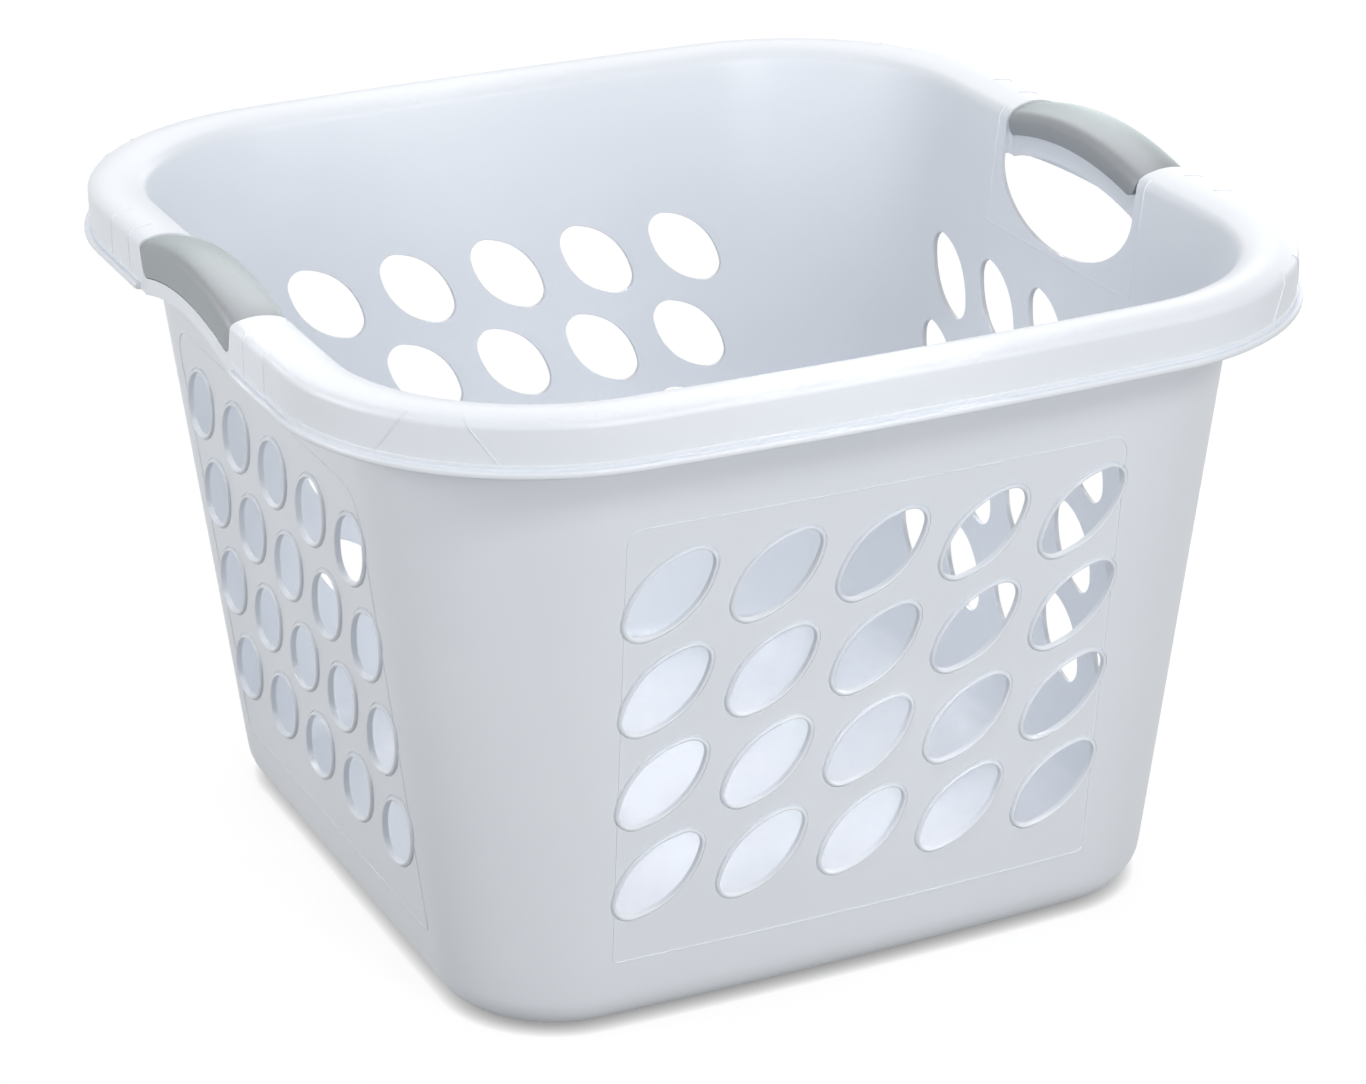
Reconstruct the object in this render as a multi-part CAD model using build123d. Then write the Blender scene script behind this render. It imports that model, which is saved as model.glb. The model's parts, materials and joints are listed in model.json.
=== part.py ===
"""Square laundry basket: vented walls, rolled rim and two grips snapped onto the handles."""
import os
from math import asin, cos, degrees, hypot, radians, sin, sqrt, tan

from build123d import *

# Frame: Z points up, the basket stands on Z = 0 and is centred on the Z axis.
# The front faces -Y, and the handles are on the -X and +X sides. Sizes are in millimetres.

# Plan
overall_width = 481.2       # from left to right, over the lip
corner_axis_x = 119.5       # upright axes of the round corners, from the middle
corner_axis_y = 118.5
side_bow = 2.6              # how far the front and back walls bow out at their middle

# Floor and walls
sheet = 1.8                 # thickness of floor, walls, rim and skirt
wall_draft = 6.7            # lean of the walls, in degrees
floor_edge_radius = 21.0    # outer radius between floor and walls

# Rim, skirt and lip
crest_height = 316.0
crest_inset = 11.6          # from the outer face of the skirt in to the crest
rim_overhang = 24.68        # from the outer face of the skirt in to the wall, at the height of the crest
crown_radius = 30.0
rim_inner_radius = 7.3
rim_outer_radius = 4.0
tight_radius = 0.6          # smallest bend on the hidden side of the rim
skirt_drop = 24.9           # from the crest down to the lower edge of the skirt
lip_stand_out = 2.8
lip_height = 3.2
lip_edge_radius = 1.2
lip_end = 62.0              # where the lip stops beside a handle, from the middle of the side

# Vents
vent_half_length = 24.2
vent_half_width = 13.2
vent_tip_radius = 8.0
vent_lean = 45.0            # degrees from level
vent_columns = 5
vent_rows = 4
column_pitch = 48.4
row_pitch = 46.5
top_row_drop = 98.7         # from the crest down to the middle of the top row
collar_width = 2.3
collar_height = 1.0

# Handles
grip_half_length = 57.7
handle_rise = 7.7           # how far the handle arches above the rim
grip_sheet = 3.0
grip_outer_drop = 16.4      # from the crest of the grip down to its lower edges
grip_inner_drop = 14.2
grip_corner_radius = 3.5
leg_drop = 26.4             # from the crest of the grip down to the foot of the bridge's inner leg
web_thickness = 4.5         # end webs between the rim and the bridge
hole_half_width = 60.7
hole_depth = 33.2           # from the foot of the skirt down to the bottom of the hand hole
recess_drop = 16.5          # from the crest of the rim down to the top of the recess beside the leg

# Snap tabs of the grips
tab_offset = 30.0           # from the middle of the grip
tab_width = 10.0
tab_thickness = 3.0
barb_stand_out = 0.8
barb_length = 3.4

# Fits
seat_clearance = 0.3        # between the grip and the bridge, rim, ledge and tab slots

# Sizes that follow from the ones above
draft_slope = tan(radians(wall_draft))
lip_reach = overall_width / 2 - corner_axis_x
skirt_reach = lip_reach - lip_stand_out
crest_reach = skirt_reach - crest_inset
wall_foot = skirt_reach - rim_overhang - draft_slope * crest_height
skirt_foot = crest_height - skirt_drop
top_row_height = crest_height - top_row_drop
# Feet of grip and bridge, before the arch lifts them
grip_outer_foot = crest_height - grip_outer_drop
grip_inner_foot = crest_height - grip_inner_drop
leg_foot = crest_height - leg_drop
hole_top = crest_height - recess_drop
bow_radius = (corner_axis_x ** 2 + side_bow ** 2) / (2 * side_bow)
bow_centre = bow_radius - side_bow - corner_axis_y
bow_angle = degrees(asin(corner_axis_x / bow_radius))
rim_gap = grip_half_length + seat_clearance
arch_radius = (grip_half_length ** 2 + handle_rise ** 2) / (2 * handle_rise)
arch_axis_height = crest_height + handle_rise - arch_radius
bridge_depth = grip_sheet + seat_clearance
ledge_top = grip_outer_foot - seat_clearance
strip_foot = arch_axis_height - handle_rise + hypot(skirt_foot - arch_axis_height, rim_gap)
arch_angle = degrees(asin((rim_gap + web_thickness) / (leg_foot + handle_rise - arch_axis_height)))
far_out = overall_width     # any size that clears the whole basket


def wall_reach(height, depth):
    """Distance from the corner axis to a line that lies depth behind the inner face of the wall."""
    return wall_foot + draft_slope * height - (sheet - depth) / cos(radians(wall_draft))


def crown_inner_point(depth):
    """Where the crown would meet the wall if the bend between them were sharp."""
    radius = crown_radius - depth
    centre = crest_height - crown_radius
    offset = wall_reach(0, depth) - crest_reach
    square = 1 + draft_slope ** 2
    linear = draft_slope * offset - centre
    constant = offset ** 2 + centre ** 2 - radius ** 2
    height = (sqrt(linear ** 2 - square * constant) - linear) / square
    return (wall_reach(height, depth), height)


def crown_outer_point(depth):
    """Where the crown would meet the skirt if the bend between them were sharp."""
    reach = skirt_reach - depth
    radius = crown_radius - depth
    height = crest_height - crown_radius + sqrt(radius ** 2 - (reach - crest_reach) ** 2)
    return (reach, height)


def rim_edges(depth, wall_point, skirt_height):
    """Line of the rim with sharp bends, from a point low on the wall to a height on the skirt."""
    inner = crown_inner_point(depth)
    outer = crown_outer_point(depth)
    crest = (crest_reach, crest_height - depth)
    wall = Line(wall_point, inner)
    crown = ThreePointArc(inner, crest, outer)
    skirt = Line(outer, (skirt_reach - depth, skirt_height))
    return [wall, crown, skirt]


def rim_bends(depth):
    """The two bends of a rim line, each with its radius."""
    inner_bend = (crown_inner_point(depth), max(rim_inner_radius - depth, tight_radius))
    outer_bend = (crown_outer_point(depth), max(rim_outer_radius - depth, tight_radius))
    return [inner_bend, outer_bend]


def rounded(edges, bends):
    """Face inside a ring of edges, with some of its corners rounded."""
    face = make_face(edges)
    for point, radius in bends:
        corner = face.vertices().sort_by_distance(point)[0]
        face = fillet(corner, radius)
    return face


def rim_band(near, far, wall_height, skirt_height):
    """Section of a sheet that follows the rim between two depths."""
    near_wall = (wall_reach(wall_height, near), wall_height)
    far_wall = (wall_reach(wall_height, far), wall_height)
    edges = rim_edges(near, near_wall, skirt_height) + rim_edges(far, far_wall, skirt_height)
    edges.append(Line((skirt_reach - near, skirt_height), (skirt_reach - far, skirt_height)))
    edges.append(Line(near_wall, far_wall))
    return rounded(edges, rim_bends(near) + rim_bends(far))


def basket_section():
    """Section of floor, wall, rim and skirt, measured outwards from the corner axis."""
    inner_corner = (wall_reach(sheet, 0), sheet)
    outer_corner = (wall_reach(0, sheet), 0)
    edges = rim_edges(0, inner_corner, skirt_foot) + rim_edges(sheet, outer_corner, skirt_foot)
    edges.append(Line((skirt_reach, skirt_foot), (skirt_reach - sheet, skirt_foot)))
    edges.append(Line((0, sheet), inner_corner))
    edges.append(Line((0, 0), outer_corner))
    edges.append(Line((0, 0), (0, sheet)))
    bends = rim_bends(0) + rim_bends(sheet)
    bends.append((inner_corner, floor_edge_radius - sheet))
    bends.append((outer_corner, floor_edge_radius))
    return rounded(edges, bends)


def lip_section():
    """Section of the bead along the foot of the skirt."""
    width = lip_stand_out + sheet / 2
    middle = (lip_reach - width / 2, skirt_foot + lip_height / 2)
    bead = Pos(*middle) * Rectangle(width, lip_height)
    return fillet(bead.vertices().group_by(Axis.X)[-1], lip_edge_radius)


def section_plane(x, y, angle, lift=0):
    """Upright plane at a point of the plan, with its X direction at an angle to the X axis."""
    across = (cos(radians(angle)), sin(radians(angle)), 0)
    normal = (sin(radians(angle)), -cos(radians(angle)), 0)
    return Plane(origin=(x, y, lift), x_dir=across, z_dir=normal)


def front_run(section):
    """A section led along the bowed front side."""
    start = -90 - bow_angle
    plane = section_plane(-corner_axis_x, -corner_axis_y, start)
    axis = Axis((0, bow_centre, 0), (0, 0, 1))
    return revolve(plane * section, axis, 2 * bow_angle)


def corner_run(section):
    """A section led round the front right corner."""
    plane = section_plane(corner_axis_x, -corner_axis_y, bow_angle - 90)
    axis = Axis((corner_axis_x, -corner_axis_y, 0), (0, 0, 1))
    return revolve(plane * section, axis, 90 - bow_angle)


def right_run(section, first, last):
    """A section led along the flat right side between two distances from its middle."""
    return extrude(section_plane(corner_axis_x, last, 0) * section, last - first)


def all_round(corner, front, right):
    """Copies of a corner, a front and a right piece on all corners and sides."""
    corners = [corner, mirror(corner, Plane.XZ), mirror(corner, Plane.YZ), Rot(0, 0, 180) * corner]
    sides = [front, mirror(front, Plane.XZ), right, mirror(right, Plane.YZ)]
    return corners + sides


def floor_plate():
    """Floor between the four corner axes."""
    right = Line((corner_axis_x, -corner_axis_y), (corner_axis_x, corner_axis_y))
    left = Line((-corner_axis_x, -corner_axis_y), (-corner_axis_x, corner_axis_y))
    bow = corner_axis_y + side_bow
    front = ThreePointArc((-corner_axis_x, -corner_axis_y), (0, -bow), (corner_axis_x, -corner_axis_y))
    back = ThreePointArc((-corner_axis_x, corner_axis_y), (0, bow), (corner_axis_x, corner_axis_y))
    return extrude(make_face([right, left, front, back]), sheet)


def plain_basket():
    """Basket with its rim all round, before handles and vents."""
    section = basket_section()
    right_side = right_run(section, -corner_axis_y, corner_axis_y)
    shell = all_round(corner_run(section), front_run(section), right_side)
    bead = lip_section()
    bead_ends = right_run(bead, lip_end, corner_axis_y)
    side_bead = bead_ends + mirror(bead_ends, Plane.XZ)
    lip = all_round(corner_run(bead), front_run(bead), side_bead)
    return floor_plate() + shell + lip


def handle_arch(section):
    """A section of the right handle led along its arch."""
    axis = Axis((0, 0, arch_axis_height), (1, 0, 0))
    middle = section_plane(corner_axis_x, 0, 0, handle_rise) * section
    return revolve(middle.rotate(axis, -arch_angle), axis, 2 * arch_angle)


def side_slice(half_length):
    """Everything that lies within a distance of the middle of the right side."""
    return Pos(far_out / 2, 0, 0) * Box(far_out, 2 * half_length, 2 * far_out)


def bridge():
    """White arch under the right grip: inner leg, crown, outer leg, ledge and strip of skirt."""
    far = bridge_depth + sheet
    arch = rim_band(bridge_depth, far, leg_foot, ledge_top - sheet)
    ledge = Pos(skirt_reach - far / 2, ledge_top - sheet / 2) * Rectangle(far, sheet)
    strip_height = ledge_top - strip_foot
    strip = Pos(skirt_reach - sheet / 2, strip_foot + strip_height / 2) * Rectangle(sheet, strip_height)
    whole = handle_arch(arch + ledge + strip)
    return whole & side_slice(rim_gap + web_thickness / 2)


def end_webs():
    """Webs that close the rim at both ends of the right handle and carry the bridge."""
    depth = sheet / 2
    wall_point = (wall_reach(skirt_foot, depth), skirt_foot)
    edges = rim_edges(depth, wall_point, skirt_foot)
    edges.append(Line(wall_point, (skirt_reach - depth, skirt_foot)))
    section = rounded(edges, rim_bends(depth))
    web = right_run(section, rim_gap, rim_gap + web_thickness)
    return web + mirror(web, Plane.XZ)


def hand_hole():
    """Space of the right hand hole in the wall and of the recess beside the inner leg."""
    oval = Pos(0, skirt_foot) * Ellipse(hole_half_width, hole_depth)
    recess_height = hole_top - skirt_foot
    recess = Pos(0, skirt_foot + recess_height / 2) * Rectangle(2 * hole_half_width, recess_height)
    lower = Pos(0, skirt_foot - hole_depth / 2) * Rectangle(2 * hole_half_width, hole_depth)
    outline = (oval & lower) + recess
    leg_face = corner_axis_x + wall_reach(leg_foot, bridge_depth)
    return extrude(Plane.YZ * outline, leg_face)


def tab_place(side):
    """Foot of a snap tab's axis, under the crest of the right rim."""
    return Pos(corner_axis_x + crest_reach, side * tab_offset, 0)


def tab_slot():
    """Slot through the crown of the bridge for one snap tab."""
    height = 2 * (crest_height - skirt_foot)
    slot = Box(tab_thickness + 2 * seat_clearance, tab_width + 2 * seat_clearance, height)
    return Pos(0, 0, crest_height) * slot


def snap_tab():
    """Tab that hangs from the grip through the bridge and hooks under it."""
    underside = arch_radius - bridge_depth - sheet
    hook = arch_axis_height + sqrt(underside ** 2 - (tab_offset + tab_width / 2) ** 2) - seat_clearance
    root = arch_axis_height + sqrt((arch_radius - grip_sheet / 2) ** 2 - tab_offset ** 2)
    tip = hook - barb_length
    face = tab_thickness / 2
    shank = [(-face, tip), (-face, root), (face, root)]
    barb = [(face, hook), (face + barb_stand_out, hook), (face, tip)]
    section = make_face(Polyline(*shank, *barb, close=True))
    return extrude(Plane.XZ * section, tab_width / 2, both=True)


def right_grip():
    """Saddle over the right handle, with its two snap tabs."""
    near_wall = (wall_reach(grip_inner_foot, 0), grip_inner_foot)
    far_wall = (wall_reach(grip_inner_foot, grip_sheet), grip_inner_foot)
    edges = rim_edges(0, near_wall, grip_outer_foot) + rim_edges(grip_sheet, far_wall, grip_outer_foot)
    edges.append(Line(near_wall, far_wall))
    edges.append(Line((skirt_reach, grip_outer_foot), (skirt_reach - grip_sheet, grip_outer_foot)))
    section = rounded(edges, rim_bends(0) + rim_bends(grip_sheet))
    saddle = handle_arch(section) & side_slice(grip_half_length)
    foot_corners = saddle.edges().filter_by(Axis.X)
    saddle = fillet(foot_corners, grip_corner_radius)
    return saddle + [tab_place(side) * snap_tab() for side in (-1, 1)]


def both_sides(shape):
    """A shape of the right handle and its mirror image on the left."""
    return [shape, mirror(shape, Plane.YZ)]


def fit_handles(plain):
    """The plain basket with a hand hole, webs and bridge in place of the rim on both sides."""
    above_skirt = Pos(0, 0, skirt_foot + far_out / 2) * Box(2 * far_out, far_out, far_out)
    rim_opening = side_slice(rim_gap) & above_skirt
    slots = [tab_place(side) * tab_slot() for side in (-1, 1)]
    crossing = bridge() - slots
    opened = plain - both_sides(rim_opening)
    closed = opened + both_sides(end_webs())
    holed = closed - both_sides(hand_hole())
    return holed + both_sides(crossing)


def leaf(margin):
    """Leaf outline of a vent, widened by a margin."""
    half_length = vent_half_length - vent_tip_radius
    half_width = vent_half_width - vent_tip_radius
    upper = ThreePointArc((-half_length, 0), (0, half_width), (half_length, 0))
    lower = ThreePointArc((-half_length, 0), (0, -half_width), (half_length, 0))
    outline = offset(make_face([upper, lower]), vent_tip_radius + margin)
    return Rot(0, 0, vent_lean) * outline


def vent_collar():
    """Collar around a vent, standing on the outer face of the wall."""
    ring = leaf(collar_width) - leaf(0)
    return Pos(0, 0, -sheet / 2) * extrude(ring, collar_height + sheet / 2)


def vent_hole():
    """Prism that cuts one vent through wall and collar."""
    reach = 2 * (sheet + collar_height)
    return Pos(0, 0, -reach) * extrude(leaf(0), 2 * reach)


def wall_place(middle_x, middle_y, angle, height):
    """Place on the outer face of a wall whose foot faces an angle, with Z along its normal."""
    lean = radians(wall_draft)
    out = (cos(radians(angle)), sin(radians(angle)))
    reach = wall_reach(height, sheet)
    origin = (middle_x + out[0] * reach, middle_y + out[1] * reach, height)
    normal = (out[0] * cos(lean), out[1] * cos(lean), -sin(lean))
    return Plane(origin=origin, x_dir=(-out[1], out[0], 0), z_dir=normal)


def vent_places():
    """Places of all vents on the four walls."""
    places = []
    for row in range(vent_rows):
        height = top_row_height - row * row_pitch
        for column in range(vent_columns):
            along = (column - (vent_columns - 1) / 2) * column_pitch
            turn = degrees(asin(along / bow_radius)) - 90
            foot_x = bow_radius * cos(radians(turn))
            foot_y = bow_centre + bow_radius * sin(radians(turn))
            front = wall_place(foot_x, foot_y, turn, height).location
            right = wall_place(corner_axis_x, along, 0, height).location
            for half_turn in (0, 180):
                places.append(Rot(0, 0, half_turn) * front)
                places.append(Rot(0, 0, half_turn) * right)
    return places


def basket():
    """The whole white moulding."""
    places = vent_places()
    collar = vent_collar()
    hole = vent_hole()
    body = fit_handles(plain_basket())
    body = body + [place * collar for place in places]
    return body - [place * hole for place in places]


def main():
    """Write one file for each piece."""
    os.makedirs("parts", exist_ok=True)
    grip = right_grip()
    pieces = {"basket": basket(), "grip_right": grip, "grip_left": mirror(grip, Plane.YZ)}
    for name, shape in pieces.items():
        export_step(shape, f"parts/{name}.step")
        print(name, len(shape.solids()), round(shape.volume), shape.bounding_box())


if __name__ == "__main__":
    main()
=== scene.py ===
"""Open laundry basket of white plastic with two grey grips, dressed for a studio picture."""
import json
import logging
import math
from collections.abc import Callable, Iterable
from dataclasses import dataclass
from enum import Enum

import bmesh
import bpy
from mathutils import Matrix, Vector

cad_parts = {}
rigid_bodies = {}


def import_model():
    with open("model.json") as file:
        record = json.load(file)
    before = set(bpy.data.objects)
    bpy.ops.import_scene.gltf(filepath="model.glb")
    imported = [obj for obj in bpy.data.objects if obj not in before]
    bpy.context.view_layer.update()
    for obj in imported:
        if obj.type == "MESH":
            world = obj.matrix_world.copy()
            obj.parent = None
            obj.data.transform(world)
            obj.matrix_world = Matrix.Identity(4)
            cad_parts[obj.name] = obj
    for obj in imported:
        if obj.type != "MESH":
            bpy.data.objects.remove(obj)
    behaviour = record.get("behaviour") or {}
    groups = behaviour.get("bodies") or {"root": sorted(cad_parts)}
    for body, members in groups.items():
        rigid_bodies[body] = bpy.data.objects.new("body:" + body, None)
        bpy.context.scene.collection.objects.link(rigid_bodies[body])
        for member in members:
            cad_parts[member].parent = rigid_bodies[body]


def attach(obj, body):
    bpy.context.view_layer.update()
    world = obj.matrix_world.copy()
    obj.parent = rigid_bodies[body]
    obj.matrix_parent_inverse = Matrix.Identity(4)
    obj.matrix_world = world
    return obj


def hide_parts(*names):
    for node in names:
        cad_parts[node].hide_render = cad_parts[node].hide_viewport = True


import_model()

LOG = logging.getLogger("basket")

# Pieces are modelled in millimetres and brought to metres when they are finished.
METRES_PER_MM = 0.001
WELD = 0.02           # mm, vertices nearer than this are one
EPS = 0.01            # mm, slack when vertices are picked by their place
ROUND_ANGLE = math.radians(32)   # faces that meet flatter than this are shaded as one

# Directions and moves in the frame of the CAD model, whose front faces -Y
RIGHT = Vector((1.0, 0.0, 0.0))
BACK = Vector((0.0, 1.0, 0.0))
UP = Vector((0.0, 0.0, 1.0))
HALF_TURN = Matrix.Rotation(math.pi, 4, "Z")
FRONT_TO_BACK = Matrix.Diagonal((1.0, -1.0, 1.0, 1.0))
RIGHT_TO_LEFT = Matrix.Diagonal((-1.0, 1.0, 1.0, 1.0))


# Edit mode helpers


def deselect() -> None:
    """Leave edit mode and clear the selection."""
    if bpy.context.object is not None and bpy.context.object.mode != "OBJECT":
        bpy.ops.object.mode_set(mode="OBJECT")
    bpy.ops.object.select_all(action="DESELECT")


def pick(*pieces: bpy.types.Object) -> None:
    """Select these objects only, the first one as the active object.

    Args:
        *pieces: Objects to select.
    """
    deselect()
    for piece in pieces:
        piece.select_set(True)
    bpy.context.view_layer.objects.active = pieces[0]


def open_mesh(piece: bpy.types.Object) -> None:
    """Enter edit mode on one object, with nothing selected in it.

    Args:
        piece: Mesh object to open.
    """
    pick(piece)
    bpy.ops.object.mode_set(mode="EDIT")
    bpy.ops.mesh.select_mode(type="VERT")
    bpy.ops.mesh.select_all(action="DESELECT")


def new_piece(name: str) -> bpy.types.Object:
    """Start an empty mesh object and stay in edit mode on it.

    Args:
        name: Name of the object.

    Returns:
        The new object, at the origin.
    """
    deselect()
    bpy.ops.mesh.primitive_plane_add(size=1.0, location=(0.0, 0.0, 0.0))
    piece = bpy.context.object
    piece.name = name
    open_mesh(piece)
    bpy.ops.mesh.select_all(action="SELECT")
    bpy.ops.mesh.delete(type="VERT")
    return piece


def select_points(test: Callable[[bmesh.types.BMVert], bool]) -> None:
    """Select the vertices of the open mesh that pass a test, and what lies between them.

    Args:
        test: Tells whether a vertex is wanted.
    """
    mesh = bmesh.from_edit_mesh(bpy.context.object.data)
    for point in mesh.verts:
        point.select_set(False)
    for point in mesh.verts:
        if test(point):
            point.select_set(True)
    mesh.select_flush_mode()
    bmesh.update_edit_mesh(bpy.context.object.data)


def select_edges(test: Callable[[bmesh.types.BMEdge], bool]) -> None:
    """Select the edges of the open mesh that pass a test.

    Args:
        test: Tells whether an edge is wanted.
    """
    bpy.ops.mesh.select_mode(type="EDGE")
    mesh = bmesh.from_edit_mesh(bpy.context.object.data)
    for edge in mesh.edges:
        edge.select_set(False)
    for edge in mesh.edges:
        if test(edge):
            edge.select_set(True)
    mesh.select_flush_mode()
    bmesh.update_edit_mesh(bpy.context.object.data)


def open_edge(edge: bmesh.types.BMEdge) -> bool:
    """Tell whether an edge has a face on one side at most."""
    return len(edge.link_faces) < 2


def weld() -> None:
    """Merge vertices of the open mesh that lie on one another."""
    bpy.ops.mesh.select_all(action="SELECT")
    bpy.ops.mesh.remove_doubles(threshold=WELD)


def face_outwards() -> None:
    """Turn all faces of the open mesh outwards."""
    bpy.ops.mesh.select_all(action="SELECT")
    bpy.ops.mesh.normals_make_consistent(inside=False)


def draw_out(step: Vector) -> None:
    """Fill the closed outline in the open mesh and draw it out to a solid.

    Args:
        step: Way from the first face to the last.
    """
    weld()
    bpy.ops.mesh.edge_face_add()
    bpy.ops.mesh.extrude_region_move(TRANSFORM_OT_translate={"value": step})
    face_outwards()


def closed(piece: bpy.types.Object) -> bpy.types.Object:
    """Close the ends of a piece and leave edit mode.

    Args:
        piece: Piece in edit mode.

    Returns:
        The same piece.
    """
    weld()
    bpy.ops.mesh.fill_holes(sides=0)
    face_outwards()
    deselect()
    return piece


def settle(piece: bpy.types.Object) -> None:
    """Move an object's place, turn and scale into its mesh."""
    pick(piece)
    bpy.ops.object.transform_apply(location=True, rotation=True, scale=True)


def copy_of(piece: bpy.types.Object, name: str, matrix: Matrix) -> bpy.types.Object:
    """Copy an object with its own mesh to another place.

    Args:
        piece: Object at the origin.
        name: Name of the copy.
        matrix: Where the copy goes. It may mirror.

    Returns:
        The copy, with its place in its mesh.
    """
    pick(piece)
    bpy.ops.object.duplicate(linked=False)
    copy = bpy.context.object
    copy.name = name
    copy.matrix_world = matrix
    settle(copy)
    if matrix.determinant() < 0:
        open_mesh(copy)
        bpy.ops.mesh.select_all(action="SELECT")
        bpy.ops.mesh.flip_normals()
        deselect()
    return copy


def half_turned(*pieces: bpy.types.Object) -> list[bpy.types.Object]:
    """Return copies of objects, turned by half a turn to the far side."""
    return [copy_of(piece, piece.name + "_far", HALF_TURN) for piece in pieces]


def joined(pieces: Iterable[bpy.types.Object]) -> bpy.types.Object:
    """Join objects into the first of them.

    Args:
        pieces: Objects to join.

    Returns:
        The first object.
    """
    pieces = list(pieces)
    pick(*pieces)
    bpy.ops.object.join()
    return pieces[0]


def apply_modifier(piece: bpy.types.Object, kind: str, **settings: object) -> None:
    """Add a modifier with its settings and apply it.

    Args:
        piece: Object that gets it.
        kind: Type name of the modifier.
        **settings: Its properties.
    """
    pick(piece)
    modifier = piece.modifiers.new(kind.lower(), kind)
    for name, value in settings.items():
        setattr(modifier, name, value)
    bpy.ops.object.modifier_apply(modifier=modifier.name)


class Cut(Enum):
    """What a second solid does to the first."""

    ADD = "UNION"
    TAKE = "DIFFERENCE"


def combine(piece: bpy.types.Object, other: bpy.types.Object, cut: Cut) -> None:
    """Add a second solid to the first or take it away, and delete the second."""
    apply_modifier(piece, "BOOLEAN", operation=cut.value, object=other, solver="EXACT")
    bpy.data.objects.remove(other)


def spin(centre: Vector, axis: Vector, angle: float, steps: int) -> None:
    """Spin what is selected in the open mesh, and leave its last copy selected.

    Args:
        centre: Point of the axis.
        axis: Direction of the axis.
        angle: Turn in radians by the right-hand rule, which the operator counts the other way.
        steps: Number of steps.
    """
    bpy.ops.mesh.spin(steps=steps, angle=-angle, center=centre, axis=axis)


# Drawing outlines


@dataclass(frozen=True)
class Board:
    """Drawing board: a plane in space with two directions to draw along."""

    origin: Vector
    across: Vector
    up: Vector

    def at(self, place: tuple[float, float]) -> Vector:
        """Return the point in space of a place on the board."""
        return self.origin + self.across * place[0] + self.up * place[1]

    def axis(self) -> Vector:
        """Return the axis that turns across towards up."""
        return self.across.cross(self.up)


class Pen:
    """One vertex that is extruded along lines and spun along arcs, and leaves an outline."""

    def __init__(self, board: Board, start: tuple[float, float]) -> None:
        """Put the pen down in the open mesh.

        Args:
            board: Plane to draw on.
            start: Where the outline begins.
        """
        self.board = board
        self.start = start
        self.place = start
        bpy.ops.mesh.select_all(action="DESELECT")
        bpy.ops.mesh.primitive_plane_add(size=1.0, location=board.at(start))
        bpy.ops.mesh.merge(type="CENTER")

    def line(self, to: tuple[float, float], steps: int = 1) -> "Pen":
        """Draw a straight line in equal steps.

        Args:
            to: Where the line ends.
            steps: Number of steps.

        Returns:
            The pen itself.
        """
        step = (self.board.at(to) - self.board.at(self.place)) / steps
        for _ in range(steps):
            bpy.ops.mesh.extrude_region_move(TRANSFORM_OT_translate={"value": step})
        self.place = to
        return self

    def lines(self, *places: tuple[float, float]) -> "Pen":
        """Draw one straight line after another.

        Args:
            *places: Where the lines end.

        Returns:
            The pen itself.
        """
        for place in places:
            self.line(place)
        return self

    def arc(self, centre: tuple[float, float], angle: float, steps: int) -> "Pen":
        """Draw an arc.

        Args:
            centre: Centre of the arc on the board.
            angle: Turn in radians, from across towards up.
            steps: Number of straight pieces.

        Returns:
            The pen itself.
        """
        spin(self.board.at(centre), self.board.axis(), angle, steps)
        offset = Vector(self.place) - Vector(centre)
        self.place = tuple(Vector(centre) + Matrix.Rotation(angle, 2) @ offset)
        return self

    def close(self) -> None:
        """Draw a straight line back to the start."""
        self.line(self.start)


class Brush(Pen):
    """A profile that is led along lines and arcs, and leaves a ridge."""

    def __init__(self, board: Board, start: tuple[float, float], heading: float,
                 profile: Iterable[tuple[float, float]]) -> None:
        """Put the profile down across its way.

        Args:
            board: Plane of the way.
            start: Where the way begins.
            heading: Its first direction, in radians from across towards up.
            profile: Corners of the profile, to the left of the way and along the board's axis.
        """
        left = board.up * math.cos(heading) - board.across * math.sin(heading)
        places = list(profile)
        pen = Pen(Board(board.at(start), left, board.axis()), places[0])
        pen.lines(*places[1:]).close()
        bpy.ops.mesh.select_linked()
        bpy.ops.mesh.remove_doubles(threshold=WELD)
        self.board = board
        self.start = start
        self.place = start


# Shape of the moulding


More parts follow.
